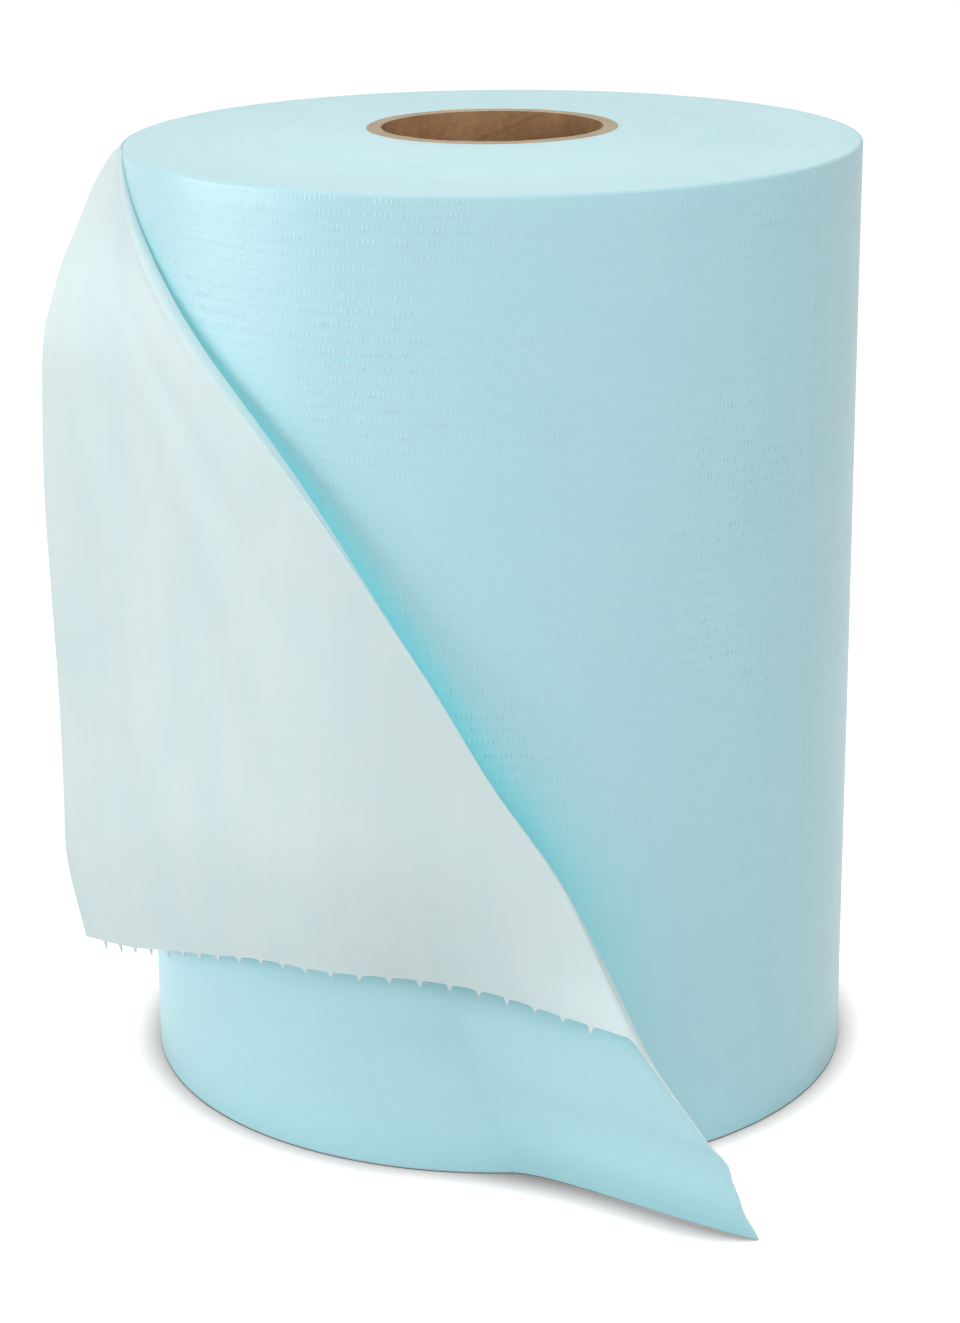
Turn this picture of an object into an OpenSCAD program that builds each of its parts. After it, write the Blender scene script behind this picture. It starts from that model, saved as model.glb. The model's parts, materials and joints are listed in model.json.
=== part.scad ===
// Roll of nonwoven wipes that stands on its end, with its last sheet folded down loose.
// Millimetres. The roll's axis is X = Y = 0, the floor is Z = 0, and the front is -Y.
// Angles round the axis start at the front and grow towards +X.

/* [Wound roll] */
// Width of the web, which is the height of the wound roll
web_w = 330; // [300:5:360]
// Diameter over the wound turns
roll_d = 253; // [236:1:270]
// Radius of the soft rim at both ends
rim_r = 2.5; // [1.5:0.5:4]
// How far the inner turns have slipped up past the outer ones
slip = 3.6; // [0:0.4:6]
// Width of the outer turns that have not slipped
level_w = 20; // [12:2:30]
// Width of the smooth band of outer turns that the roll rests on
rest_w = 8; // [5:1:12]
// Ridges of turns that show on each end
ridge_n = 14; // [8:1:18]
// Height of a ridge over its groove
ridge_h = 0.3; // [0.1:0.05:0.5]

/* [Core] */
// Bore of the core tube
core_id = 76.2; // [70:0.2:80]
// Wall of the core tube
core_wall = 5; // [3:0.5:8]
// How much longer the core tube is than the web is wide
core_extra = 4; // [1:0.5:8]
// Bevel at the outer edge of the core tube's ends
core_bevel = 0.8; // [0.2:0.1:1.5]
// Clearance between the core tube and the first turn
core_gap = 0.1; // [0.05:0.05:0.3]

/* [Loose sheet] */
// Thickness of the web with its embossing
sheet_t = 1; // [0.8:0.1:1.4]
// Pitch of the perforation along the free edge
perf_pitch = 10.8; // [9:0.2:14]
// Length of a torn perforation tooth
tooth_l = 2.7; // [1:0.1:4]
// Half the width of a tooth at its root
tooth_half_w = 1.3; // [0.8:0.1:2]
// Height of the folded-down free edge where it meets the fold, as a share of the web's width
fold_foot = 0.2; // [0.18:0.01:0.24]
// Height of the folded-down corner, as a share of the web's width
corner_foot = 0.155; // [0.12:0.005:0.2]
// How far the free edge bows up between its corner and the fold
edge_bow = 22; // [10:1:30]
// Slack that the hanging part stands off the roll with, at its foot
slack = 4; // [2:0.5:8]

/* [Hidden] */
$fn = 128;

roll_r = roll_d / 2;
core_r = core_id / 2;
core_outer_r = core_r + core_wall;
hub_r = core_outer_r + core_gap;
core_l = web_w + core_extra;

// The sheet starts this far inside the wound turns, so that it is one solid with them
root_depth = 1.2;
// The sheet's top edge lies this far below the rim
top_drop = 0.8;
sheet_top = web_w - top_drop;
flap_foot = fold_foot * web_w;
// Height at which the fold ends on the free edge's standing stretch
tail_share = 0.103;
tail_top = tail_share * web_w;

// Rows of the sheet from the rim down to the fold's foot, and below it
fold_rows = 26;
tail_rows = 4;
// Steps of a row along the standing layer and round the fold
under_steps = 6;
curl_steps = 7;
// Points that measure a row's length
ruler_steps = 48;
// Steps round the soft rim
rim_steps = 4;
// The fold is drawn out along the row by this factor, because it runs aslant
slant = 1.3;
// How far a row climbs round the fold at the rim
first_climb = 4;
// Lift off the roll at which the standing layer leaves it the earliest
full_lift = 50;
// Angle from where the standing layer leaves the roll to its end, with no lift and its growth
leave_near = 5;
leave_far = 22;
// Pull of the standing layer's curve, as a share of its reach, with no lift and its growth
pull_near = 0.33;
pull_far = 0.1;
// Angle beside the fold over which the flap comes down to the roll
flare_a = 26;
// Soft swell low in the flap: its height, angle and half width
swell_h = 5;
swell_a = -24;
swell_half_a = 11;
// The bow fades towards the corner by this share and power
bow_fade = 0.9;
bow_power = 6;
// The standing layer's foot stays this far off the floor
foot_gap = 0.3;
// The hanging layer stays at least this far inside its own edge
edge_room = 0.01;

// The fold: share of the web's width, angle, gap to the roll, turn off the tangent, radius
FOLD = [
    [1.00, -83, -1.5, 0, 1.8],
    [0.94, -61.5, -1, 0, 3],
    [0.88, -52.3, -1, 0, 3.6],
    [0.75, -35, -1, 0, 4.6],
    [0.56, -16.3, 0, -1, 5.5],
    [0.44, -5.8, 2, -8, 6.5],
    [0.33, 5.2, 9.5, -27, 7.5],
    [0.25, 11.6, 24, -46, 7.5],
    [0.18, 15.8, 45, -58, 6],
    [tail_share, 20.6, 58.5, -60.6, 3],
];

// The hanging side edge: share of the web's width, angle, gap to the roll
SIDE = [
    [1.00, -109, -0.8],
    [0.985, -101.5, 6],
    [0.96, -94, 10.5],
    [0.915, -87.5, 16.6],
    [0.87, -79.5, 24],
    [0.82, -76.7, 29.5],
    [0.75, -76, 31.3],
    [0.31, -76, 32.5],
    [0.25, -76, 32],
    [corner_foot, -75.5, 26],
];

// The free edge's standing stretch: share of the web's width, angle, gap, turn off the tangent
TAIL = [
    [tail_share, 20.6, 58.5, -60.6],
    [0.085, 22, 62, -60],
    [0.065, 22.7, 63.2, -59.5],
    [0.035, 23.6, 64.5, -58.5],
    [0, 25.2, 66.4, -57.5],
];

function polar(r, a, z) = [r * sin(a), -r * cos(a), z];
function radius_of(p) = norm([p[0], p[1]]);
function angle_of(p) = atan2(p[0], -p[1]);
function along(a) = [cos(a), sin(a), 0];
function outward(a) = [sin(a), -cos(a), 0];
function unit(v) = v / norm(v);
function mix(a, b, u) = a + (b - a) * u;

// Smooth curve through a table whose first column falls
function span_of(tab, h, i = 0) =
    (i >= len(tab) - 2 || h >= tab[i + 1][0]) ? i : span_of(tab, h, i + 1);
function rise(tab, i) = (tab[i + 1] - tab[i]) / (tab[i + 1][0] - tab[i][0]);
function slope(tab, i) =
    i == 0 ? rise(tab, 0)
    : i == len(tab) - 1 ? rise(tab, i - 1)
    : (rise(tab, i) + rise(tab, i - 1)) / 2;
function hermite(a, b, ma, mb, u) =
    (2 * u * u * u - 3 * u * u + 1) * a + (u * u * u - 2 * u * u + u) * ma
    + (3 * u * u - 2 * u * u * u) * b + (u * u * u - u * u) * mb;
function between(tab, h, i) =
    let (step = tab[i + 1][0] - tab[i][0])
    hermite(tab[i], tab[i + 1], slope(tab, i) * step, slope(tab, i + 1) * step, (h - tab[i][0]) / step);
function smooth_row(tab, h) = between(tab, h, span_of(tab, h));

// A row of the sheet is one line of the drape: t is 0 at the rim and 1 at the fold's foot
function flap_z(t) = mix(sheet_top, flap_foot, t);
function curl_slide(t) = first_climb + (flap_foot - tail_top - first_climb) * t * t;
function curl_z(t, f) = flap_z(t) - curl_slide(t) * (1 - f);
function fold_at(t, f) = smooth_row(FOLD, curl_z(t, f) / web_w);

// Round the fold: f is 0 on the standing layer and 1 on the hanging flap
function curl_point(t, f) =
    let (
        c = fold_at(t, f),
        heading = c[1] + c[3],
        seat = polar(roll_r + c[2], c[1], curl_z(t, f)),
        phi = 180 * f - 90
    )
    seat + outward(heading) * c[4] * (1 + sin(phi)) + along(heading) * slant * c[4] * cos(phi);

// The standing layer: leaves the wound turns on their tangent and arrives at a point
function lift_share(p) = min(1, max(0, radius_of(p) - roll_r) / full_lift);
function leave_angle(p) = angle_of(p) - leave_near - leave_far * sqrt(lift_share(p));
function bezier(a, b, c, d, u) =
    pow(1 - u, 3) * a + 3 * u * pow(1 - u, 2) * b + 3 * u * u * (1 - u) * c + u * u * u * d;
function under_point(p, heading, u) =
    let (
        a = leave_angle(p),
        root = polar(roll_r - root_depth, a, p[2]),
        reach = norm(p - root),
        pull = pull_near + pull_far * lift_share(p)
    )
    bezier(root, root + along(a) * reach * pull, p - along(heading) * reach * pull, p, u);

// The hanging flap: w is 0 at the fold and 1 at the side edge
function flap_point(t, w) =
    let (
        start = curl_point(t, 1),
        c = fold_at(t, 1),
        end_z = mix(sheet_top, corner_foot * web_w, t),
        side = smooth_row(SIDE, end_z / web_w),
        start_a = angle_of(start),
        side_r = roll_r + side[2],
        near_r = min(roll_r + 2 * c[4] + slack * t, side_r - edge_room),
        touch_a = side[1] + acos(near_r / side_r),
        a = mix(start_a, side[1], w),
        flare = 1 - min(1, (start_a - a) / flare_a),
        swell = swell_h * t * t * exp(-pow((a - swell_a) / swell_half_a, 2)) * (1 - w),
        bow = edge_bow * 4 * w * (1 - w) * (1 - bow_fade * pow(w, bow_power)) * t * t
    )
    polar(
        near_r / cos(min(0, a - touch_a)) + (radius_of(start) - near_r) * flare * flare + swell,
        a,
        mix(start[2], end_z, w) + bow
    );

// Shares of a flap row that lie at even lengths along it
function ruler(t) =
    let (p = [for (k = [0:ruler_steps]) flap_point(t, k / ruler_steps)])
    [for (k = 0, s = 0; k <= ruler_steps; s = s + (k < ruler_steps ? norm(p[k + 1] - p[k]) : 0), k = k + 1)
        [s, k / ruler_steps]];
function even_share(marks, u) = lookup(u * marks[ruler_steps][0], marks);

foot_ruler = ruler(1);
flap_steps = round(foot_ruler[ruler_steps][0] / perf_pitch);
fold_end = under_steps + curl_steps;
last = fold_end + flap_steps;

function full_row(t) =
    let (
        first = curl_point(t, 0),
        c = fold_at(t, 0),
        marks = ruler(t)
    )
    concat(
        [for (j = [0:under_steps - 1]) under_point(first, c[1] + c[3], j / under_steps)],
        [for (j = [0:curl_steps]) curl_point(t, j / curl_steps)],
        [for (j = [1:flap_steps]) flap_point(t, even_share(marks, j / flap_steps))]
    );
function tail_row(v) =
    let (
        z = mix(tail_top, foot_gap, v),
        c = smooth_row(TAIL, z / web_w),
        end = polar(roll_r + c[2], c[1], z)
    )
    [for (j = [0:under_steps]) under_point(end, c[1] + c[3], j / under_steps)];

// Middle surface of the sheet: full rows above the fold's foot, short rows below it
MID = concat(
    [for (i = [0:fold_rows]) full_row(i / fold_rows)],
    [for (i = [1:tail_rows]) tail_row(i / tail_rows)]
);
bottom = fold_rows + tail_rows;

function has(i, j) = i >= 0 && i <= bottom && j >= 0 && j < len(MID[i]);
function pick(i, j, di, dj) = has(i + di, j + dj) ? MID[i + di][j + dj] : MID[i][j];
function normal_at(i, j) =
    unit(cross(pick(i, j, 1, 0) - pick(i, j, -1, 0), pick(i, j, 0, 1) - pick(i, j, 0, -1)));

// A torn tooth hangs from each inner node of the free edge
function tooth_tip(i, j, di, dj) = MID[i][j] + unit(MID[i][j] - MID[i - di][j - dj]) * tooth_l;
function node_point(i, j) =
    (i == fold_rows && j > fold_end && j < last) ? tooth_tip(i, j, 1, 0)
    : (i > fold_rows && i < bottom && j == under_steps) ? tooth_tip(i, j, 0, 1)
    : MID[i][j];
function shoulder(i, j, k, l) =
    MID[i][j] + unit(MID[k][l] - MID[i][j]) * tooth_half_w;

// Places of the points: the grid first, then two shoulders for each stretch of the free edge
grid_n = (fold_rows + 1) * (last + 1) + tail_rows * (under_steps + 1);
point_n = grid_n + 2 * flap_steps + 2 * tail_rows;
function id(i, j) =
    i <= fold_rows ? i * (last + 1) + j
    : (fold_rows + 1) * (last + 1) + (i - fold_rows - 1) * (under_steps + 1) + j;
function flap_id(j, k) = grid_n + 2 * (j - fold_end) + k;
function tail_id(i, k) = grid_n + 2 * flap_steps + 2 * (i - fold_rows) + k;

function sheet_side(off) = concat(
    [for (i = [0:bottom]) for (j = [0:len(MID[i]) - 1]) node_point(i, j) + normal_at(i, j) * off],
    [for (j = [fold_end:last - 1]) for (k = [0, 1])
        shoulder(fold_rows, j + k, fold_rows, j + 1 - k) + normal_at(fold_rows, j + k) * off],
    [for (i = [fold_rows:bottom - 1]) for (k = [0, 1])
        shoulder(i + k, under_steps, i + 1 - k, under_steps) + normal_at(i + k, under_steps) * off]
);

function cell(i, j) = [
    [id(i, j), id(i, j + 1), id(i + 1, j)],
    [id(i, j + 1), id(i + 1, j + 1), id(i + 1, j)]
];
function flap_foot_cell(i, j) = [
    [id(i, j), flap_id(j, 0), id(i + 1, j)],
    [id(i, j), flap_id(j, 1), flap_id(j, 0)],
    [id(i, j), id(i, j + 1), flap_id(j, 1)],
    [id(i, j + 1), id(i + 1, j + 1), flap_id(j, 1)]
];
function tail_end_cell(i, j) = [
    [id(i, j), id(i, j + 1), tail_id(i, 0)],
    [id(i, j), tail_id(i, 0), tail_id(i, 1)],
    [id(i, j), tail_id(i, 1), id(i + 1, j)],
    [id(i + 1, j), tail_id(i, 1), id(i + 1, j + 1)]
];
front_faces = concat(
    [for (i = [0:fold_rows - 1]) for (j = [0:last - 1])
        each (i == fold_rows - 1 && j >= fold_end) ? flap_foot_cell(i, j) : cell(i, j)],
    [for (i = [fold_rows:bottom - 1]) for (j = [0:under_steps - 1])
        each (j == under_steps - 1) ? tail_end_cell(i, j) : cell(i, j)]
);

// The sheet's outline, once round
outline = concat(
    [for (j = [0:last]) id(0, j)],
    [for (i = [1:fold_rows]) id(i, last)],
    [for (j = [last - 1:-1:fold_end]) each [flap_id(j, 1), flap_id(j, 0), id(fold_rows, j)]],
    [for (j = [fold_end - 1:-1:under_steps]) id(fold_rows, j)],
    [for (i = [fold_rows:bottom - 1]) each [tail_id(i, 0), tail_id(i, 1), id(i + 1, under_steps)]],
    [for (j = [under_steps - 1:-1:0]) id(bottom, j)],
    [for (i = [bottom - 1:-1:1]) id(i, 0)]
);
wall_faces = [for (k = [0:len(outline) - 1])
    let (a = outline[k], b = outline[(k + 1) % len(outline)])
    each [[a, b + point_n, b], [a, a + point_n, b + point_n]]];
back_faces = [for (f = front_faces) [f[2] + point_n, f[1] + point_n, f[0] + point_n]];

module loose_sheet() {
    polyhedron(
        points = concat(sheet_side(sheet_t / 2), sheet_side(-sheet_t / 2)),
        faces = concat(front_faces, wall_faces, back_faces),
        convexity = 10
    );
}

// How far the turns at radius r have slipped up, with an even start and end
function slip_at(r) =
    let (u = min(1, max(0, (roll_r - level_w - r) / (roll_r - level_w - hub_r))))
    slip * u * u * (3 - 2 * u);
ridge_w = (roll_r - rim_r - rest_w - hub_r) / ridge_n;
function ridge_r(k) = hub_r + ridge_w * k / 2;
function groove(k) = k % 2 == 1 ? ridge_h : 0;
function rim(k, z, turn) =
    let (a = turn + 90 * k / rim_steps)
    [roll_r - rim_r + rim_r * cos(a), z + rim_r * sin(a)];

// Half section of the wound turns, from the hub out along the floor and back along the top
module turns_section() {
    polygon(concat(
        [for (k = [0:2 * ridge_n]) [ridge_r(k), slip_at(ridge_r(k)) + groove(k)]],
        [for (k = [0:rim_steps]) rim(k, rim_r, -90)],
        [for (k = [0:rim_steps]) rim(k, web_w - rim_r, 0)],
        [for (k = [2 * ridge_n:-1:0]) [ridge_r(k), web_w + slip_at(ridge_r(k)) - groove(k)]]
    ));
}

module core_tube() {
    color("tan")
    rotate_extrude()
    polygon([
        [core_r, 0],
        [core_outer_r - core_bevel, 0],
        [core_outer_r, core_bevel],
        [core_outer_r, core_l - core_bevel],
        [core_outer_r - core_bevel, core_l],
        [core_r, core_l]
    ]);
}

module wipe_web() {
    color("lightblue")
    union() {
        rotate_extrude() turns_section();
        loose_sheet();
    }
}

core_tube();
wipe_web();
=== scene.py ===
import json
import math

import bpy
import numpy as np
from mathutils import Matrix, Vector


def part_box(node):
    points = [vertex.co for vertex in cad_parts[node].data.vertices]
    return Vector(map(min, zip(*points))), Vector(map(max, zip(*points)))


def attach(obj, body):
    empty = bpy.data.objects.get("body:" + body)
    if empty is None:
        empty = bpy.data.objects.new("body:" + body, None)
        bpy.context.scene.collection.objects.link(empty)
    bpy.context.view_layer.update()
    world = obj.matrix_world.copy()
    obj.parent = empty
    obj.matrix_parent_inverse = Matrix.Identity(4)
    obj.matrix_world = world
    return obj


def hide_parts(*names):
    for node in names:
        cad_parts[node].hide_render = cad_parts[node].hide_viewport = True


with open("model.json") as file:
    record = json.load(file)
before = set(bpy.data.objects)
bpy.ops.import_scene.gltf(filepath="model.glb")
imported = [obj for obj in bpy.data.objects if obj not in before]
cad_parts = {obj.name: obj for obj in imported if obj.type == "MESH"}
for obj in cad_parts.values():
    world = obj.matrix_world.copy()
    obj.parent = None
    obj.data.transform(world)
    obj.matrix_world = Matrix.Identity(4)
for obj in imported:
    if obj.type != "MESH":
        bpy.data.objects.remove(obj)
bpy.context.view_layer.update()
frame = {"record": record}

MM = 0.001

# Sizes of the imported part
web_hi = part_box("wipe_web")[1]
core_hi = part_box("core_tube")[1]
mounts = {m["name"]: m for m in frame["record"]["mounts"]}
CORE_R = mounts["core_bore"]["dims"]["r_mm"]
CORE_OUTER_R = core_hi.x / MM
CORE_L = core_hi.z / MM
CORE_EXTRA = 4.0
WEB_W = CORE_L - CORE_EXTRA
ROLL_R = web_hi.x / MM
SLIP = web_hi.z / MM - WEB_W
CORE_PLAY = 0.1
HUB_R = CORE_OUTER_R + CORE_PLAY
RIM_R = 1.1
LEVEL_W = 20.0

# The camera, as the photo's perspective gives it, with angles in radians
EYE = Vector((-5.97, -1061.93, 480.40)) * MM
PITCH = 0.3095
ROLL = -0.0100
LENS = 83.8
SENSOR = 36.0

# Loose sheet. Its side edge and tail are those of the part's source, its fold is pressed flatter
SHEET_T = 0.55
TOP_DROP = 0.8
SHEET_TOP = WEB_W - TOP_DROP
FLAP_FOOT = 0.205 * WEB_W
CORNER_FOOT = 0.155
TAIL_SHARE = 0.103
TAIL_TOP = TAIL_SHARE * WEB_W
EDGE_BOW = 15.2
SLACK = 4.0
ROOT_DEPTH = 0.35
SLANT = 1.3
TIP_R = 1.1
TIP_SHARE = 0.55
TIP_START_A = -40.0
FIRST_CLIMB = 4.0
SLIDE_POWER = 2.2
FULL_LIFT = 50.0
LEAVE_NEAR, LEAVE_FAR = 5.0, 18.4
PULL, ROOT_EASE = 0.33, 0.2
FLARE_A = 26.0
SWELL_H, SWELL_A, SWELL_HALF_A = 5.0, -24.0, 11.0
BOW_FADE, BOW_POWER = 0.9, 4
FOOT_GAP = 0.35
EDGE_ROOM = 0.01
# Shares of the way round the fold where its slow climb and its tight tip end
FOLD_CLIMB, FOLD_TIP_END = 0.5, 0.85
FOLD_PULL = 0.42
# How far the cut edge of the web is rounded outwards
EDGE_BULGE = 0.12

# The fold: share of the web's width, angle, gap to the roll, turn off the tangent, radius
FOLD = np.array([
    [1.00, -83, -1.2, 0, 0.7],
    [0.94, -69.6, -1, 0, 2.2],
    [0.88, -58.0, -1, 0, 3.2],
    [0.75, -35.5, -1, 0, 4.6],
    [0.56, -14.7, 0, -1, 5.5],
    [0.44, -4.2, 2, -8, 6.5],
    [0.33, 7.0, 9.5, -27, 7.0],
    [0.25, 12.6, 24, -46, 5.0],
    [0.18, 15.8, 45, -58, 2.2],
    [TAIL_SHARE, 20.6, 58.5, -60.6, 1.2],
])
# The hanging side edge: share of the web's width, angle, gap to the roll
SIDE = np.array([
    [1.00, -109, -0.8],
    [0.985, -101.5, 6],
    [0.96, -94, 10.5],
    [0.915, -87.5, 16.6],
    [0.87, -79.5, 24],
    [0.82, -76.7, 29.5],
    [0.75, -76, 31.3],
    [0.31, -76, 32.5],
    [0.25, -76, 32],
    [CORNER_FOOT, -75.5, 26],
])
# The free edge's standing stretch: share of the web's width, angle, gap, turn off the tangent
TAIL = np.array([
    [TAIL_SHARE, 20.6, 58.5, -60.6],
    [0.085, 22, 62, -60],
    [0.065, 22.7, 63.2, -59.5],
    [0.035, 23.6, 64.5, -55.5],
    [0, 25.2, 66.4, -52.2],
])

# Fineness of the sheet's grid
FOLD_ROWS = 132
TAIL_ROWS = 22
UNDER_STEPS = 26
CURL_STEPS = 26
RULER_STEPS = 96
# Share of the flap's height between its last two rows, which holds the torn teeth
TOOTH_ROW = 0.0045
# Where the columns lie in one pitch of the perforation, with a tooth's tip at 0
PITCH_MARKS = np.array([-0.15, -0.1, -0.05, 0.0, 0.05, 0.1, 0.15, 0.32, 0.5, 0.68])
# How long a tooth is at each column: a torn nib, and a thorn as near the free corner
NIB = np.array([0.0, 0.12, 0.58, 1.0, 0.55, 0.1, 0.0, -0.04, -0.06, -0.04])
THORN = np.array([0.0, 0.0, 0.06, 1.0, 0.6, 0.22, 0.0, 0.0, 0.0, 0.0])
THORNS = 5
TEETH = 23
RAGGED_H = 0.25
# Heights of the flap's soft waves, and of its side edge's own
WIDE_WAVE_H, NARROW_WAVE_H, EDGE_WAVE_H = 0.55, 0.35, 1.1
# The free corner lies at the first tooth's tip, so the marks before it are left out
MARKS_LEFT_OUT = 3
TOOTH_L = 2.6

rng = np.random.default_rng(7)


# Round the roll: angles in degrees start at the front and grow towards +X
def polar(r, a, z):
    r, a, z = np.broadcast_arrays(r, np.radians(a), z)
    return np.stack([r * np.sin(a), -r * np.cos(a), z], axis=-1)


def radius_of(p):
    return np.hypot(p[..., 0], p[..., 1])


def angle_of(p):
    return np.degrees(np.arctan2(p[..., 0], -p[..., 1]))


def along(a):
    a = np.radians(a)
    return np.stack([np.cos(a), np.sin(a), np.zeros_like(a)], axis=-1)


def outward(a):
    a = np.radians(a)
    return np.stack([np.sin(a), -np.cos(a), np.zeros_like(a)], axis=-1)


def mix(a, b, u):
    return a + (b - a) * u


def unit(v):
    return v / np.maximum(np.linalg.norm(v, axis=-1, keepdims=True), 1e-9)


def smooth_step(low, high, x):
    u = np.clip((x - low) / (high - low), 0, 1)
    return u * u * (3 - 2 * u)


def smooth_row(table, h):
    """Smooth curve through a table whose first column falls."""
    x, y = table[:, 0], table[:, 1:]
    rise = np.diff(y, axis=0) / np.diff(x)[:, None]
    slope = np.concatenate([rise[:1], (rise[1:] + rise[:-1]) / 2, rise[-1:]])
    h = np.asarray(h, float)
    i = np.clip(np.searchsorted(-x, -h) - 1, 0, len(x) - 2)
    step = (x[i + 1] - x[i])[..., None]
    u = ((h - x[i])[..., None]) / step
    return (
        (2 * u**3 - 3 * u**2 + 1) * y[i]
        + (u**3 - 2 * u**2 + u) * slope[i] * step
        + (3 * u**2 - 2 * u**3) * y[i + 1]
        + (u**3 - u**2) * slope[i + 1] * step
    )


# The drape: t is 0 at the rim and 1 at the fold's foot
def flap_z(t):
    return mix(SHEET_TOP, FLAP_FOOT, t)


def curl_z(t, f):
    slide = FIRST_CLIMB + (FLAP_FOOT - TAIL_TOP - FIRST_CLIMB) * t * t
    return flap_z(t) - slide * (1 - f)**SLIDE_POWER


def flap_tilt(reach, turn, radius, z):
    """Angle between the flap where it starts and the fold's own direction."""
    share = (SHEET_TOP - z) / (SHEET_TOP - FLAP_FOOT)
    start_r = np.hypot(reach + 2 * radius * np.cos(turn), 2 * radius * np.sin(turn))
    rise = 2 * (start_r - ROLL_R - 2 * radius - SLACK * share) / (np.radians(FLARE_A) * start_r)
    return np.arctan(rise) + turn


def fold_section(f, radius, tilt):
    """Section of the fold from the standing layer: a slow climb, a tight tip and a flat way back."""
    tip = np.minimum(TIP_R, TIP_SHARE * radius)
    back = SLANT * radius - tip
    centre_on = back * np.cos(tilt) + tip * np.sin(tilt)
    centre_out = 2 * radius + back * np.sin(tilt) - tip * np.cos(tilt)
    first = np.radians(TIP_START_A)
    turned = np.clip((f - FOLD_CLIMB) / (FOLD_TIP_END - FOLD_CLIMB), 0, 1)
    angle = mix(first, np.pi / 2 + tilt, turned)
    on, out = centre_on + tip * np.cos(angle), centre_out + tip * np.sin(angle)
    end_on, end_out = centre_on + tip * np.cos(first), centre_out + tip * np.sin(first)
    pull = FOLD_PULL * np.hypot(end_on, end_out)
    u = np.clip(f / FOLD_CLIMB, 0, 1)
    b1, b2, b3 = 3 * u * (1 - u)**2, 3 * u * u * (1 - u), u**3
    climb_on = b1 * pull + b2 * (end_on + pull * np.sin(first)) + b3 * end_on
    climb_out = b2 * (end_out - pull * np.cos(first)) + b3 * end_out
    w = np.clip((f - FOLD_TIP_END) / (1 - FOLD_TIP_END), 0, 1)
    on = np.where(f < FOLD_CLIMB, climb_on, on - w * back * np.cos(tilt))
    out = np.where(f < FOLD_CLIMB, climb_out, out - w * back * np.sin(tilt))
    return on, out


def curl_point(t, f):
    """Round the fold: f is 0 on the standing layer and 1 on the hanging flap."""
    z = curl_z(t, f)
    a, gap, turn, radius = np.moveaxis(smooth_row(FOLD, z / WEB_W), -1, 0)
    tilt = flap_tilt(ROLL_R + gap, np.radians(turn), radius, z)
    on, out = (x[..., None] for x in fold_section(f, radius, tilt))
    return polar(ROLL_R + gap, a, z) + outward(a + turn) * out + along(a + turn) * on


def lift_share(p):
    return np.clip((radius_of(p) - ROLL_R) / FULL_LIFT, 0, 1)


def leave_angle(p):
    return angle_of(p) - LEAVE_NEAR - LEAVE_FAR * np.sqrt(lift_share(p))


def under_points(p, heading, u):
    """The standing layer: leaves the wound turns on their tangent and arrives at p."""
    a = leave_angle(p)
    root = polar(ROLL_R - ROOT_DEPTH, a, p[..., 2])
    span = np.linalg.norm(p - root, axis=-1)
    b = root + along(a) * (span * (PULL - ROOT_EASE * lift_share(p)))[..., None]
    c = p - along(heading) * (span * PULL)[..., None]
    u = u[..., None]
    return (1 - u)**3 * root + 3 * u * (1 - u)**2 * b + 3 * u * u * (1 - u) * c + u**3 * p


def flap_point(t, w):
    """The hanging flap: w is 0 at the fold and 1 at the side edge."""
    start = curl_point(t, np.ones_like(t))
    radius = smooth_row(FOLD, curl_z(t, 1.0) / WEB_W)[..., 3]
    end_z = mix(SHEET_TOP, CORNER_FOOT * WEB_W, t)
    side_a, side_gap = np.moveaxis(smooth_row(SIDE, end_z / WEB_W), -1, 0)
    start_a = angle_of(start)
    side_r = ROLL_R + side_gap
    near_r = np.minimum(ROLL_R + 2 * radius + SLACK * t, side_r - EDGE_ROOM)
    touch_a = side_a + np.degrees(np.arccos(near_r / side_r))
    a = mix(start_a, side_a, w)
    flare = 1 - np.minimum(1, (start_a - a) / FLARE_A)

    def plain(angle, share):
        swell = SWELL_H * t * t * np.exp(-((angle - SWELL_A) / SWELL_HALF_A)**2) * (1 - share)
        return near_r / np.cos(np.radians(np.minimum(0, angle - touch_a))) + swell

    bow = EDGE_BOW * 4 * w * (1 - w) * (1 - BOW_FADE * w**BOW_POWER) * t * t
    r = plain(a, w) + (radius_of(start) - plain(start_a, 0)) * flare * flare
    return polar(r, a, mix(start[..., 2], end_z, w) + bow)


def even_shares(t, shares):
    """Shares w of a flap row that lie at the given shares of its length, and that length."""
    w = np.linspace(0, 1, RULER_STEPS + 1)
    p = flap_point(np.full_like(w, t), w)
    marks = np.concatenate([[0], np.cumsum(np.linalg.norm(np.diff(p, axis=0), axis=-1))])
    return np.interp(shares * marks[-1], marks, w), marks[-1]


def row_lengths(p):
    step = np.linalg.norm(np.diff(p, axis=1), axis=-1)
    return np.concatenate([np.zeros((len(p), 1)), np.cumsum(step, axis=1)], axis=1)


# Mesh helpers
SHARP_BEND = math.radians(35)


def ring_faces(count, steps):
    """Faces of a closed ring whose section has count rows, with the indices of their corners."""
    i, j = np.meshgrid(np.arange(count), np.arange(steps), indexing="ij")
    i2, j2 = (i + 1) % count, (j + 1) % steps
    corners = [i * steps + j, i * steps + j2, i2 * steps + j2, i2 * steps + j]
    return np.stack(corners, axis=-1).reshape(-1, 4), i, i2, j


def next_row(column):
    """What the following row of a ring says."""
    return np.roll(column, -1)


def face_normals(points, quads):
    a, b, c, d = (points[quads[:, k]] for k in range(4))
    return np.cross(c - a, d - b)


def vertex_normals(points, quads):
    n = np.zeros_like(points)
    fn = face_normals(points, quads)
    for k in range(4):
        np.add.at(n, quads[:, k], fn)
    return unit(n)


def rim_edges(quads):
    """Directed edges that only one face has."""
    edges = np.concatenate([quads[:, [k, (k + 1) % 4]] for k in range(4)])
    seen = set(map(tuple, edges.tolist()))
    return np.array([e for e in edges.tolist() if (e[1], e[0]) not in seen])


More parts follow.
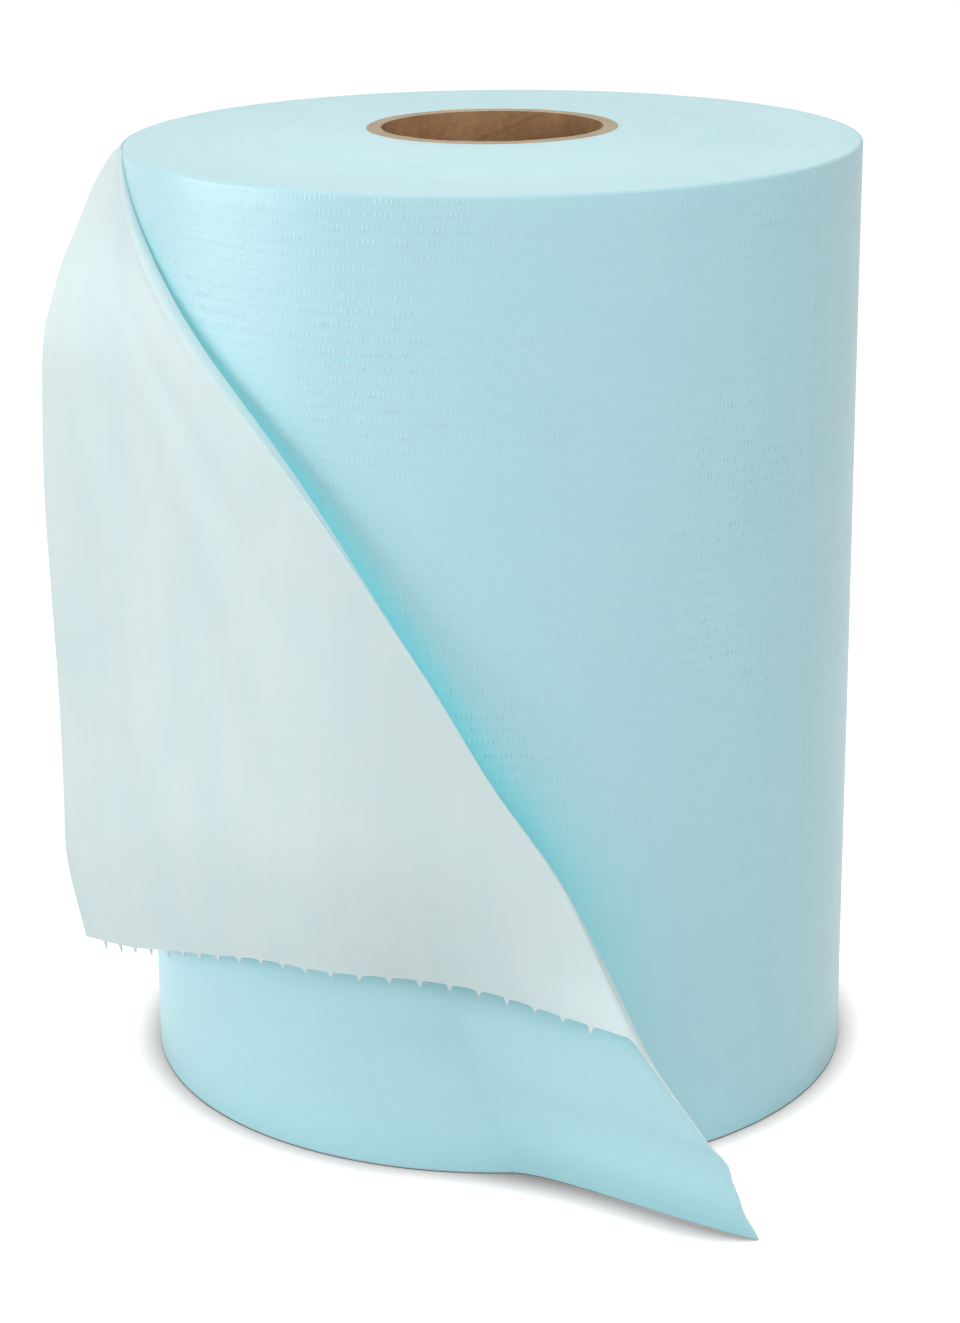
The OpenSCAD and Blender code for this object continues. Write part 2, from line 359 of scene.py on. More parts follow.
def thicken(points, quads, thickness, bulge):
    """A closed solid round a middle surface: points, faces, each face's part, each point's origin."""
    n = vertex_normals(points, quads)
    edges = rim_edges(quads)
    count = len(points)
    side = np.zeros_like(points)
    run = unit(points[edges[:, 1]] - points[edges[:, 0]])
    for k in (0, 1):
        np.add.at(side, edges[:, k], np.cross(run, n[edges[:, k]]))
    rim_ids = np.unique(edges)
    place = np.full(count, -1)
    place[rim_ids] = np.arange(len(rim_ids)) + 2 * count
    rounded = points[rim_ids] + unit(side[rim_ids]) * bulge
    all_points = np.concatenate([points + n * thickness / 2, points - n * thickness / 2, rounded])
    a, b = edges[:, 0], edges[:, 1]
    near = np.stack([b, a, place[a], place[b]], axis=1)
    far = np.stack([place[b], place[a], a + count, b + count], axis=1)
    faces = np.concatenate([quads, quads[:, ::-1] + count, near, far])
    parts = np.repeat([0, 1, 2], [len(quads), len(quads), 2 * len(edges)])
    source = np.concatenate([np.arange(count), np.arange(count), rim_ids])
    return all_points, faces, parts, source


def make_mesh(name, points, faces, materials, parts):
    mesh = bpy.data.meshes.new(name)
    mesh.from_pydata((points * MM).tolist(), [], faces.tolist())
    for material in materials:
        mesh.materials.append(material)
    mesh.polygons.foreach_set("material_index", np.asarray(parts, np.int32))
    mesh.polygons.foreach_set("use_smooth", np.ones(len(faces), bool))
    mesh.update()
    mesh.set_sharp_from_angle(angle=SHARP_BEND)
    obj = bpy.data.objects.new(name, mesh)
    bpy.context.scene.collection.objects.link(obj)
    return obj


def add_map(obj, name, per_corner):
    layer = obj.data.uv_layers.new(name=name)
    layer.data.foreach_set("uv", np.asarray(per_corner, np.float32).ravel())


# Node helpers
class Tree:
    """Short calls for a material's nodes. Each call returns the new node's first output."""

    def __init__(self, name):
        self.material = bpy.data.materials.new(name)
        self.material.use_nodes = True
        self.nodes = self.material.node_tree.nodes
        self.links = self.material.node_tree.links
        self.shader = self.nodes["Principled BSDF"]

    def feed(self, socket, value):
        if isinstance(value, bpy.types.NodeSocket):
            self.links.new(value, socket)
        else:
            socket.default_value = value

    def add(self, kind, inputs=(), out=0, **settings):
        n = self.nodes.new(kind)
        for key, value in settings.items():
            setattr(n, key, value)
        for key, value in dict(inputs).items():
            self.feed(n.inputs[key], value)
        return n.outputs[out]

    def math(self, operation, *values):
        return self.add("ShaderNodeMath", dict(enumerate(values)), operation=operation)

    def weighted(self, *pairs):
        """Sum of values, each times its weight."""
        parts = [self.math("MULTIPLY", value, weight) for value, weight in pairs]
        total = parts[0]
        for part in parts[1:]:
            total = self.math("ADD", total, part)
        return total

    def ramp(self, value, low, high, to_low=0.0, to_high=1.0):
        inputs = {"Value": value, "From Min": low, "From Max": high, "To Min": to_low, "To Max": to_high}
        return self.add("ShaderNodeMapRange", inputs, interpolation_type="SMOOTHSTEP")

    def xyz(self, vector):
        n = self.nodes.new("ShaderNodeSeparateXYZ")
        self.feed(n.inputs[0], vector)
        return n.outputs[0], n.outputs[1], n.outputs[2]

    def vector(self, x, y, z=0.0):
        return self.add("ShaderNodeCombineXYZ", {0: x, 1: y, 2: z})

    def place(self):
        return self.add("ShaderNodeTexCoord", out="Object")

    def noise(self, vector, scale, detail=2.0, roughness=0.5):
        inputs = {"Vector": vector, "Scale": scale, "Detail": detail, "Roughness": roughness}
        return self.add("ShaderNodeTexNoise", inputs)

    def chance(self, vector):
        return self.add("ShaderNodeTexWhiteNoise", {"Vector": vector})

    def blend(self, factor, a, b):
        n = self.nodes.new("ShaderNodeMix")
        n.data_type = "RGBA"
        self.feed(n.inputs[0], factor)
        self.feed(n.inputs[6], a)
        self.feed(n.inputs[7], b)
        return n.outputs[2]

    def bump(self, height, distance, under=None):
        inputs = {"Height": height, "Distance": distance, "Strength": 1.0}
        if under is not None:
            inputs["Normal"] = under
        return self.add("ShaderNodeBump", inputs)

    def finish(self, colour, roughness, normal, **plain):
        self.feed(self.shader.inputs["Base Color"], colour)
        self.feed(self.shader.inputs["Roughness"], roughness)
        self.feed(self.shader.inputs["Normal"], normal)
        for key, value in plain.items():
            self.shader.inputs[key.replace("_", " ")].default_value = value
        return self.material


def rgb(r, g, b):
    return (r, g, b, 1.0)


# Materials
# The map that says where a point lies on the flat web: along it and across it, in metres
WEB_MAP = "web_flat"
# Embossing: how many dashes go round the roll, and how far apart their rows lie
EMBOSS_N = 468
EMBOSS_PITCH = 2 * math.pi * ROLL_R / EMBOSS_N * MM
EMBOSS_ROW = 4.35 * MM
OUTER_COLOUR = rgb(0.410, 0.675, 0.735)
OUTER_PALE = rgb(0.440, 0.700, 0.757)
# Painted highlight on the raised dashes and painted shade on their sunk sides, as paler and deeper colours
DASH_PAINTED_HIGHLIGHT = rgb(0.600, 0.820, 0.860)
DASH_PAINTED_SHADE = rgb(0.360, 0.610, 0.680)
INNER_COLOUR = rgb(0.575, 0.695, 0.705)
INNER_PALE = rgb(0.625, 0.725, 0.728)
# Painted shade on the rounded rim of the roll's ends
RIM_PAINTED_SHADE = rgb(0.440, 0.665, 0.715)
END_COLOUR = rgb(0.545, 0.780, 0.820)
END_PALE = rgb(0.595, 0.815, 0.850)
# Perforation lines: rows of short slits, one sheet length apart round the roll
SLIT_COLOUR = rgb(0.300, 0.560, 0.620)
SLIT_W = 0.35 * MM
SLIT_PITCH = 10.8 * MM
SLIT_SHARE = 0.74
SLIT_STRENGTH = 0.25
PERFORATION_S = 123 * MM, -292 * MM
# Painted shade: where web lies close to web, the colour is painted deeper and more saturated, for the light
# that bounces between the two and takes on more of their colour
CLOSE_PAINTED_SHADE = rgb(0.250, 0.700, 0.770)
CLOSE_BY = 45 * MM
# Depths of the bumps
DASH_D, FELT_D, OUTER_FIBRE_D, OUTER_STREAK_D = 0.20 * MM, 0.10 * MM, 0.04 * MM, 0.05 * MM
INNER_FIBRE_D, INNER_STREAK_D = 0.05 * MM, 0.08 * MM
END_FINE_D, END_FIBRE_D = 0.04 * MM, 0.06 * MM
BOARD_D = 0.12 * MM


def embossed_web():
    """Outer side of the web: rows of short dashes across the web, raised on a soft mat, with painted
    highlights and painted shade on the dashes and painted shade where web lies close to web.
    """
    t = Tree("web_outer")
    flat = t.add("ShaderNodeUVMap", uv_map=WEB_MAP)
    s, v, _ = t.xyz(flat)
    wander = t.noise(t.vector(s, v, 2.0), 60.0, 1.0)
    row = t.math("ADD", t.math("DIVIDE", v, EMBOSS_ROW), t.math("MULTIPLY", wander, 0.25))
    row_id = t.math("FLOOR", row)
    shift = t.chance(t.vector(row_id, 3.0))
    dash = t.math("ADD", t.math("DIVIDE", s, EMBOSS_PITCH), shift)
    luck = t.chance(t.vector(t.math("FLOOR", t.math("ADD", dash, 0.5)), row_id, 1.0))
    across = t.math("ABSOLUTE", t.math("SUBTRACT", t.math("FRACT", row), 0.5))
    in_row = t.ramp(across, 0.12, 0.29, 1.0, 0.0)
    wave = t.math("COSINE", t.math("MULTIPLY", dash, 2 * math.pi))
    zone = t.ramp(t.noise(t.vector(s, v, 5.0), 16.0, 2.0), 0.36, 0.64, 0.1, 1.0)
    height = t.ramp(v, 0.02, 0.20, 0.2, 1.0)
    # Dashes show less in some places than in others, and hardly near the floor
    strength = t.math("MULTIPLY", t.ramp(luck, 0.1, 0.9, 0.1, 1.0), t.math("MULTIPLY", zone, height))
    strength = t.math("MULTIPLY", in_row, strength)
    raised = t.math("MULTIPLY", t.ramp(wave, -0.1, 1.0), strength)
    sunk_painted_shade = t.math("MULTIPLY", t.ramp(wave, -1.0, 0.0, 1.0, 0.0), strength)
    place = t.place()
    felt = t.noise(place, 260.0, 3.0, 0.55)
    streak = t.noise(t.vector(t.math("MULTIPLY", s, 0.05), v, 9.0), 700.0, 3.0, 0.6)
    normal = t.bump(felt, FELT_D)
    normal = t.bump(t.noise(place, 1400.0, 3.0, 0.6), OUTER_FIBRE_D, normal)
    normal = t.bump(streak, OUTER_STREAK_D, normal)
    normal = t.bump(raised, DASH_D, normal)
    tone = t.weighted((t.noise(place, 26.0, 2.0), 0.35), (felt, 0.2), (streak, 0.45))
    colour = t.blend(t.ramp(tone, 0.3, 0.7), OUTER_COLOUR, OUTER_PALE)
    # Painted highlight: raised dashes are coloured paler. Painted shade: their sunk sides are coloured
    # deeper
    colour = t.blend(t.math("MULTIPLY", raised, 0.5), colour, DASH_PAINTED_HIGHLIGHT)
    colour = t.blend(t.math("MULTIPLY", sunk_painted_shade, 0.3), colour, DASH_PAINTED_SHADE)
    off = (t.math("ABSOLUTE", t.math("SUBTRACT", s, at)) for at in PERFORATION_S)
    slit = t.ramp(t.math("MINIMUM", *off), SLIT_W, 2 * SLIT_W, 1.0, 0.0)
    cut = t.math("LESS_THAN", t.math("FRACT", t.math("DIVIDE", v, SLIT_PITCH)), SLIT_SHARE)
    colour = t.blend(t.math("MULTIPLY", t.math("MULTIPLY", slit, cut), SLIT_STRENGTH), colour, SLIT_COLOUR)
    # Painted shade: an occlusion node paints web close to web in a deeper, more saturated colour, less so
    # near the floor
    near = t.add("ShaderNodeAmbientOcclusion", {"Distance": CLOSE_BY}, out="AO", samples=8)
    close_painted_shade = t.math("MULTIPLY", t.ramp(near, 0.35, 1.0, 1.0, 0.0), t.ramp(v, 0.015, 0.10, 0.15, 1.0))
    colour = t.blend(close_painted_shade, colour, CLOSE_PAINTED_SHADE)
    return t.finish(colour, t.ramp(felt, 0.2, 0.8, 0.32, 0.40), normal, Specular_IOR_Level=0.42)


def smooth_web():
    """Inner side of the web: smooth and paler, with faint streaks along the web."""
    t = Tree("web_inner")
    flat = t.add("ShaderNodeUVMap", uv_map=WEB_MAP)
    s, v, _ = t.xyz(flat)
    streak = t.noise(t.vector(t.math("MULTIPLY", s, 0.06), v), 420.0, 3.0, 0.6)
    wide = t.noise(t.vector(t.math("MULTIPLY", s, 0.12), v, 4.0), 60.0, 2.0)
    place = t.place()
    fibre = t.noise(place, 1300.0, 3.0, 0.6)
    cloud = t.noise(place, 34.0, 3.0)
    normal = t.bump(streak, INNER_STREAK_D)
    normal = t.bump(fibre, INNER_FIBRE_D, normal)
    tone = t.weighted((wide, 0.4), (cloud, 0.4), (streak, 0.2))
    colour = t.blend(t.ramp(tone, 0.3, 0.7), INNER_COLOUR, INNER_PALE)
    return t.finish(colour, t.ramp(fibre, 0.2, 0.8, 0.6, 0.72), normal, Specular_IOR_Level=0.25)


def turn_edges():
    """Ends of the roll: the edges of tight turns, nearly smooth, with painted shade on the rounded rim."""
    t = Tree("web_ends")
    place = t.place()
    x, y, _ = t.xyz(place)
    r = t.math("SQRT", t.math("ADD", t.math("MULTIPLY", x, x), t.math("MULTIPLY", y, y)))
    fine = t.noise(t.vector(r, 0.0, 1.0), 900.0, 2.0, 0.6)
    wide = t.noise(t.vector(r, 0.0, 7.0), 110.0, 2.0)
    fibre = t.noise(place, 1200.0, 3.0, 0.6)
    cloud = t.noise(place, 24.0, 3.0)
    normal = t.bump(fine, END_FINE_D)
    normal = t.bump(fibre, END_FIBRE_D, normal)
    tone = t.weighted((wide, 0.35), (fine, 0.2), (cloud, 0.45))
    colour = t.blend(t.ramp(tone, 0.32, 0.68), END_COLOUR, END_PALE)
    # Painted shade: the rounded rim is coloured darker, toning down the light it catches from the lamp
    # above
    rim = t.ramp(r, (ROLL_R - 1.5) * MM, (ROLL_R - 0.5) * MM)
    colour = t.blend(rim, colour, RIM_PAINTED_SHADE)
    return t.finish(colour, 0.8, normal, Sheen_Weight=0.1, Sheen_Roughness=0.5,
                    Specular_IOR_Level=0.25)


SEAM_PITCH = 0.1


def core_board(name, colours, fibre_scale):
    """Wound paperboard: mottled fibres and a spiral seam."""
    t = Tree(name)
    place = t.place()
    x, y, z = t.xyz(place)
    turn = t.math("DIVIDE", t.math("ARCTAN2", y, x), 2 * math.pi)
    seam = t.math("FRACT", t.math("ADD", t.math("DIVIDE", z, SEAM_PITCH), turn))
    line = t.ramp(t.math("ABSOLUTE", t.math("SUBTRACT", seam, 0.5)), 0.0, 0.012, 1.0, 0.0)
    fibre = t.noise(place, fibre_scale, 5.0, 0.65)
    blotch = t.noise(place, 55.0, 4.0, 0.6)
    tone = t.weighted((fibre, 0.5), (blotch, 0.5))
    colour = t.blend(t.ramp(tone, 0.36, 0.64), colours[0], colours[1])
    colour = t.blend(t.math("MULTIPLY", line, 0.2), colour, colours[2])
    height = t.math("SUBTRACT", fibre, t.math("MULTIPLY", line, 0.6))
    roughness = t.ramp(fibre, 0.3, 0.7, 0.72, 0.88)
    return t.finish(colour, roughness, t.bump(height, BOARD_D), Specular_IOR_Level=0.3)


outer_web = embossed_web()
inner_web = smooth_web()
end_web = turn_edges()
core_inside = core_board(
    "core_inside", [rgb(0.30, 0.165, 0.078), rgb(0.42, 0.245, 0.125), rgb(0.16, 0.085, 0.04)], 420.0)
core_rim = core_board(
    "core_rim", [rgb(0.40, 0.315, 0.22), rgb(0.47, 0.385, 0.28), rgb(0.28, 0.20, 0.13)], 900.0)


# Wound turns: a closed ring whose section runs out along the floor, up the side and back
TURN_STEPS = 384
END_RINGS = 84
LOW_RINGS = 40
SIDE_ROWS = 48
RIM_STEPS = 6
# What a row of the section is on
SIDE_ROW, LOW_ROW, TOP_ROW, RIM_ROW = range(4)
# Single turns stand out of the ends in waves over the radius: height, length and start
RIPPLES = (0.03, 5.8, 0.6), (0.02, 2.7, 2.1)
SLOW_RIPPLE = 0.05, 17.0, 1.3
# The side isn't quite true: height, count round the roll, rise up it and start of its slow waves
SIDE_WAVES = (0.10, 3, 1 / 70, 0), (0.06, 7, -1 / 38, 1)
# How far in the waves lie, and how far from the rims they fade out
SIDE_SINK = 0.12
SIDE_CALM = 25


def slip_at(r):
    """How far the turns have slipped up towards the core."""
    return SLIP * smooth_step(0, 1, (ROLL_R - LEVEL_W - r) / (ROLL_R - LEVEL_W - HUB_R))


def ripple_wave(r, height, length, start):
    return height * np.sin(2 * np.pi * r / length + start)


def end_ripple(r, a):
    """How far single turns stand out of a roll's end."""
    wave = sum(ripple_wave(r, *row) for row in RIPPLES)
    fade = smooth_step(HUB_R, HUB_R + 3, r) * (1 - smooth_step(ROLL_R - 12, ROLL_R - 4, r))
    return (wave * (1 + 0.35 * np.sin(a + r / 9)) + ripple_wave(r, *SLOW_RIPPLE)) * fade


def wound_turns():
    a = np.linspace(-180, 180, TURN_STEPS + 1)
    low_r = np.linspace(HUB_R, ROLL_R - RIM_R, LOW_RINGS)
    high_r = np.linspace(ROLL_R - RIM_R, HUB_R, END_RINGS)
    turn = np.radians(np.linspace(-90, 0, RIM_STEPS + 2)[1:-1])
    rim = [(ROLL_R - RIM_R + RIM_R * np.cos(k), RIM_R + RIM_R * np.sin(k), RIM_ROW) for k in turn]
    rows = [(r, 0.0, LOW_ROW) for r in low_r] + rim
    rows += [(ROLL_R, z, SIDE_ROW) for z in np.linspace(RIM_R, WEB_W - RIM_R, SIDE_ROWS)]
    rows += [(r, WEB_W - z, kind) for r, z, kind in rim[::-1]]
    rows += [(r, WEB_W, TOP_ROW) for r in high_r]
    rows = np.array(rows)
    r, z, kind = (rows[:, [k]] for k in range(3))
    rad = np.radians(a[None, :])
    # Nothing hangs below the level band that the roll stands on
    low_lift = np.maximum(slip_at(r) - end_ripple(r, rad), 0)
    top_lift = slip_at(r) + end_ripple(r, rad)
    lift = np.where(kind == TOP_ROW, top_lift, np.where(kind == LOW_ROW, low_lift, 0))
    swell = sum(h * np.sin(n * rad + z * up + start) for h, n, up, start in SIDE_WAVES)
    calm = smooth_step(0, SIDE_CALM, z) * (1 - smooth_step(WEB_W - SIDE_CALM, WEB_W, z))
    radius = r + np.where(kind == SIDE_ROW, (swell - SIDE_SINK) * calm, 0)
    points = polar(radius, a[None, :], z + lift)[:, :-1].reshape(-1, 3)
    faces, i, i2, j = ring_faces(len(rows), TURN_STEPS)
    on_end = rows[:, 2] != SIDE_ROW
    parts = np.repeat(on_end & next_row(on_end), TURN_STEPS)
    obj = make_mesh("wound_turns", points, faces, [outer_web, end_web], parts)
    s = np.radians(a) * ROLL_R * MM
    v = rows[:, 1] * MM
    corner_s = np.stack([s[j], s[j + 1], s[j + 1], s[j]], axis=-1)
    corner_v = np.stack([v[i], v[i], v[i2], v[i2]], axis=-1)
    add_map(obj, WEB_MAP, np.stack([corner_s, corner_v], axis=-1).reshape(-1, 2))
    return obj


# Loose sheet
def torn_profile():
    """How far the torn edge hangs at each column of the flap, counted from the free corner inwards."""
    size = TOOTH_L * rng.uniform(0.7, 1.25, TEETH)
    size[0] = 0
    shape = np.where(np.arange(TEETH)[:, None] < THORNS, THORN, NIB)
    return (size[:, None] * shape).ravel()[MARKS_LEFT_OUT:]


def loose_sheet():
    # Rows lie closer together at the foot
    even = np.linspace(0, 1, FOLD_ROWS + 1)
    t = even + 0.1 * np.sin(np.pi * even) * even * (1 - even)
    t[-2] = 1 - TOOTH_ROW
    pitches = (np.arange(TEETH)[:, None] + PITCH_MARKS[None, :]).ravel()[MARKS_LEFT_OUT:]
    shares = 1 - np.append(pitches / TEETH, 1.0)[::-1]
    rows, lengths = [], []
    for x in t:
        w, length = even_shares(x, shares[1:])
        f = np.linspace(0, 1, CURL_STEPS + 1)
        curl = curl_point(np.full_like(f, x), f)
        first = curl[:1]
        c = smooth_row(FOLD, curl_z(x, 0.0) / WEB_W)
        u = np.linspace(0, 1, UNDER_STEPS + 1)[:-1]
        under = under_points(np.repeat(first, len(u), 0), np.full_like(u, c[0] + c[2]), u)
        rows.append(np.concatenate([under, curl, flap_point(np.full_like(w, x), w)]))
        lengths.append(length)
    full = np.array(rows)
    v = np.linspace(0, 1, TAIL_ROWS + 1)[1:]
    tail_z = mix(TAIL_TOP, FOOT_GAP, v)
    c = smooth_row(TAIL, tail_z / WEB_W)
    end = polar(ROLL_R + c[:, 1], c[:, 0], tail_z)[:, None]
    heading = (c[:, 0] + c[:, 2])[:, None]
    u, heading = np.broadcast_arrays(np.linspace(0, 1, UNDER_STEPS + 1)[None, :], heading)
    tail = under_points(np.repeat(end, u.shape[1], 1), heading, u)
    return full, tail, t, shares, np.array(lengths)


def flat_places(full, tail, shares, lengths):
    """Where each point lies on the flat web: along it and across it, in millimetres."""
    curl_start, curl_end = UNDER_STEPS, UNDER_STEPS + CURL_STEPS
    reach = row_lengths(full)
    root_s = np.radians(leave_angle(full[:, curl_start])) * ROLL_R
    s = root_s[:, None] + reach
    v = full[..., 2].copy()
    top_s = s[0, curl_start]
    flap_s = top_s + SHEET_TOP - full[:, curl_end:, 2]
    flap_v = WEB_W - (1 - shares)[None, :] * lengths[:, None]
    f = np.linspace(0, 1, CURL_STEPS + 1)[None, :]
    s[:, curl_start:curl_end + 1] = mix(s[:, [curl_start]], flap_s[:, [0]], f)
    v[:, curl_start:curl_end + 1] = mix(v[:, [curl_start]], flap_v[:, [0]], f)
    s[:, curl_end:] = flap_s
    v[:, curl_end:] = flap_v
    tail_s = np.radians(leave_angle(tail[:, -1])) * ROLL_R
    tail_flat = np.stack([tail_s[:, None] + row_lengths(tail), tail[..., 2]], axis=-1)
    return np.stack([s, v], axis=-1), tail_flat


def drape(full, t, shares):
    """Soft waves of the hanging flap, which its fold and its top hold still."""
    start = UNDER_STEPS + CURL_STEPS
    flap = full[:, start:]
    w, t = shares[None, :], t[:, None]
    z = flap[..., 2]
    wave = WIDE_WAVE_H * np.sin(w * 17 + 2.2 * np.sin(z / 90))
    wave += NARROW_WAVE_H * np.sin(w * 31 - z / 55 + 1)
    edge = EDGE_WAVE_H * np.sin(z / 34 + 0.6) * w**6
    hold = smooth_step(0.0, 0.25, w) * smooth_step(0.05, 0.5, t)
    flap += outward(angle_of(flap)) * ((wave + edge) * hold)[..., None]


def tear(full, tail):
    """Nibs of the torn perforation along the flap's foot and the tail's end."""
    start = UNDER_STEPS + CURL_STEPS
    foot = full[-1, start:]
    run = unit(np.gradient(foot, axis=0))
    down = foot - full[-4, start:]
    down = unit(down - run * (down * run).sum(axis=-1, keepdims=True))
    nib = np.append(torn_profile(), 0.0)[::-1]
    full[-1, start:] += down * nib[:, None]
    end = tail[:, -1]
    ragged = RAGGED_H * np.sin(end[:, 2] / 1.9) * smooth_step(0, 6, end[:, 2])
    tail[:, -1] += unit(end - tail[:, -3]) * ragged[:, None]


def sheet_quads():
    """Faces of the grid: full rows, then short rows under the standing layer."""
    wide = UNDER_STEPS + CURL_STEPS + len(PITCH_MARKS) * TEETH - MARKS_LEFT_OUT + 1
    first_tail = (FOLD_ROWS + 1) * wide
    ids = np.arange(first_tail).reshape(FOLD_ROWS + 1, wide)
    tail_ids = np.arange(TAIL_ROWS * (UNDER_STEPS + 1)).reshape(TAIL_ROWS, UNDER_STEPS + 1) + first_tail
    short = np.concatenate([ids[-1:, :UNDER_STEPS + 1], tail_ids])
    quads = []
    for g in (ids, short):
        quads.append(np.stack([g[:-1, :-1], g[1:, :-1], g[1:, 1:], g[:-1, 1:]], axis=-1).reshape(-1, 4))
    return np.concatenate(quads)


def quad_area(points, quads):
    return np.linalg.norm(face_normals(points, quads), axis=-1).sum() / 2


def build_sheet():
    full, tail, t, shares, lengths = loose_sheet()
    flat, tail_flat = flat_places(full, tail, shares, lengths)
    drape(full, t, shares)
    tear(full, tail)
    quads = sheet_quads()
    middle = np.concatenate([full.reshape(-1, 3), tail.reshape(-1, 3)])
    places = np.concatenate([flat.reshape(-1, 2), tail_flat.reshape(-1, 2)]) * MM
    points, faces, parts, source = thicken(middle, quads, SHEET_T, EDGE_BULGE)
    material = np.where(parts == 0, 0, 1)
    obj = make_mesh("loose_sheet", points, faces, [outer_web, inner_web], material)
    add_map(obj, WEB_MAP, places[source][faces.ravel()])
    return obj, quad_area(middle, quads) * MM * MM


# Core tube, with its plies showing at both cut ends
CORE_STEPS = 288
BORE_ROWS = 26
PLIES = 7
PLY_RINGS = 4
PLY_RISE = 0.11
CUT_SINK = 0.21
BEVEL = 0.35


def core_tube():
    a = np.linspace(-180, 180, CORE_STEPS + 1)[:-1]
    rad = np.radians(a)[None, :]
    rings = PLIES * PLY_RINGS + 1
    r = np.linspace(CORE_R + BEVEL, CORE_OUTER_R - BEVEL, rings)
    ply = PLY_RISE * np.abs(np.sin(np.linspace(0, PLIES * np.pi, rings)))
    # One row: radius, height, and 1 where it is on a cut end
    rows = [(CORE_R, z, 0) for z in np.linspace(CORE_L - BEVEL, BEVEL, BORE_ROWS)]
    rows += [(x, PLY_RISE - y, 1) for x, y in zip(r, ply)]
    rows += [(CORE_OUTER_R, z, 0) for z in (BEVEL, CORE_L / 2, CORE_L - BEVEL)]
    rows += [(x, CORE_L + y - CUT_SINK, 1) for x, y in zip(r[::-1], ply[::-1])]
    rows = np.array(rows)
    radius, z, cut = (rows[:, [k]] for k in range(3))
    ragged = 0.05 * np.sin(9 * rad + radius * 3) + 0.04 * np.sin(23 * rad - radius * 5)
    z = z + np.where((cut == 1) & (z > CORE_L / 2), ragged, 0)
    points = polar(radius + 0 * rad, a[None, :], z).reshape(-1, 3)
    faces = ring_faces(len(rows), CORE_STEPS)[0]
    on_cut = rows[:, 2] == 1
    parts = np.repeat(on_cut | next_row(on_cut), CORE_STEPS)
    return make_mesh("core_board_tube", points, faces, [core_inside, core_rim], parts)


turns = wound_turns()
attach(turns, "root")
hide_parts("wipe_web")

sheet, sheet_area = build_sheet()
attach(sheet, "root")
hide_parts("wipe_web")

core = core_tube()
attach(core, "root")
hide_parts("core_tube")


# Floor, light and camera
def unlit_share(nodes, links):
    """1 for rays from the eye, a mirror or clear glass."""
    path = nodes.new("ShaderNodeLightPath")
    share = path.outputs["Is Camera Ray"]
    for ray in ("Is Glossy Ray", "Is Transmission Ray"):
        larger = nodes.new("ShaderNodeMath")
        larger.operation = "MAXIMUM"
        links.new(share, larger.inputs[0])
        links.new(path.outputs[ray], larger.inputs[1])
        share = larger.outputs[0]
    return share


AMBIENT = 0.15
FLOOR_GLOW = 0.88
FLOOR_HALF = 12.0
FLOOR_WHITE = rgb(0.60, 0.60, 0.60)
SHADOW_TINT = rgb(0.11, 0.095, 0.09)
# How far the contact shade reaches. The lean makes it wider in front of the roll than behind it
CONTACT = 0.034
CONTACT_LEAN = math.radians(35)


def make_world():
    world = bpy.data.worlds.new("studio")
    bpy.context.scene.world = world
    world.use_nodes = True
    nodes, links = world.node_tree.nodes, world.node_tree.links
    back = nodes["Background"]
    back.inputs["Color"].default_value = rgb(1, 1, 1)
    level = nodes.new("ShaderNodeMapRange")
    level.inputs["To Min"].default_value = AMBIENT
    level.inputs["To Max"].default_value = 1.0
    links.new(unlit_share(nodes, links), level.inputs["Value"])
    links.new(level.outputs[0], back.inputs["Strength"])


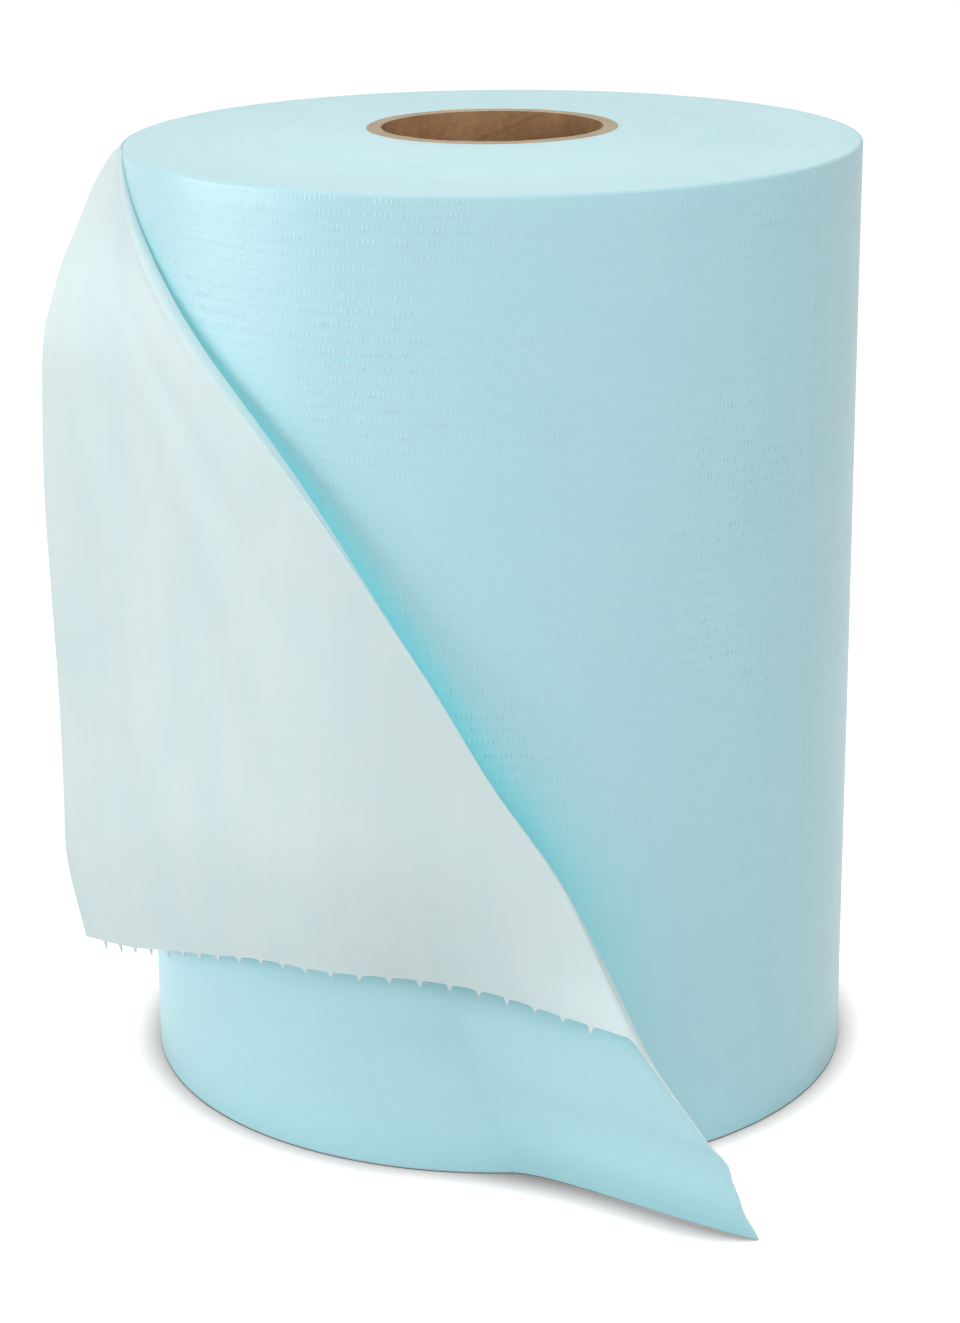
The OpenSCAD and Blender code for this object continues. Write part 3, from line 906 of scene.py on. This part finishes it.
def make_floor():
    t = Tree("studio_floor")
    lean = (0, math.sin(CONTACT_LEAN), math.cos(CONTACT_LEAN))
    shade = t.add("ShaderNodeAmbientOcclusion", {"Distance": CONTACT, "Normal": lean}, out="AO", samples=16)
    bounced = t.add("ShaderNodeLightPath", out="Is Diffuse Ray")
    shade = t.math("MAXIMUM", t.ramp(shade, 0.30, 0.86), bounced)
    t.nodes.remove(t.shader)
    matt = t.add("ShaderNodeBsdfDiffuse", {"Color": t.blend(shade, SHADOW_TINT, FLOOR_WHITE)})
    seen = t.math("MULTIPLY", unlit_share(t.nodes, t.links), FLOOR_GLOW)
    white = t.blend(shade, SHADOW_TINT, rgb(1, 1, 1))
    glow = t.add("ShaderNodeEmission", {"Color": white, "Strength": seen})
    total = t.add("ShaderNodeAddShader", {0: matt, 1: glow})
    t.links.new(total, t.nodes["Material Output"].inputs["Surface"])
    mesh = bpy.data.meshes.new("studio_floor")
    h = FLOOR_HALF
    mesh.from_pydata([(-h, -h, 0), (h, -h, 0), (h, h, 0), (-h, h, 0)], [], [(0, 1, 2, 3)])
    mesh.materials.append(t.material)
    floor = bpy.data.objects.new("studio_floor", mesh)
    bpy.context.scene.collection.objects.link(floor)


LAMP_AIM = Vector((0, 0, 0.16))


def area_light(name, azimuth, reach, height, size, power, glossy):
    """A soft lamp at an azimuth from the front. Only the key lamp shows in the web's gloss."""
    a = math.radians(azimuth)
    place = reach * math.sin(a), -reach * math.cos(a), height
    data = bpy.data.lights.new(name, "AREA")
    data.shape = "RECTANGLE"
    data.size, data.size_y = size
    data.energy = power
    light = bpy.data.objects.new(name, data)
    light.location = place
    light.rotation_euler = (LAMP_AIM - Vector(place)).to_track_quat("-Z", "Y").to_euler()
    light.visible_glossy = glossy
    bpy.context.scene.collection.objects.link(light)


def make_camera():
    data = bpy.data.cameras.new("camera")
    data.lens = LENS
    data.sensor_width = SENSOR
    data.clip_start, data.clip_end = 0.01, 100
    camera = bpy.data.objects.new("camera", data)
    forward = Vector((0, math.cos(PITCH), -math.sin(PITCH)))
    up = Vector((0, math.sin(PITCH), math.cos(PITCH)))
    right = Vector((1, 0, 0))
    right, up = (math.cos(ROLL) * right + math.sin(ROLL) * up,
                 math.cos(ROLL) * up - math.sin(ROLL) * right)
    turn = Matrix((right, up, -forward)).transposed().to_4x4()
    camera.matrix_world = Matrix.Translation(EYE) @ turn
    bpy.context.scene.collection.objects.link(camera)
    bpy.context.scene.camera = camera


make_world()
make_floor()
area_light("key", -84, 2.3, 0.4, (1.8, 0.8), 33.0, True)
area_light("front", 19, 2.4, 1.1, (1.4, 1.4), 30.5, False)
area_light("above", 0, 0.4, 2.4, (1.5, 1.5), 34.0, False)
make_camera()
bpy.context.scene.view_settings.view_transform = "Standard"
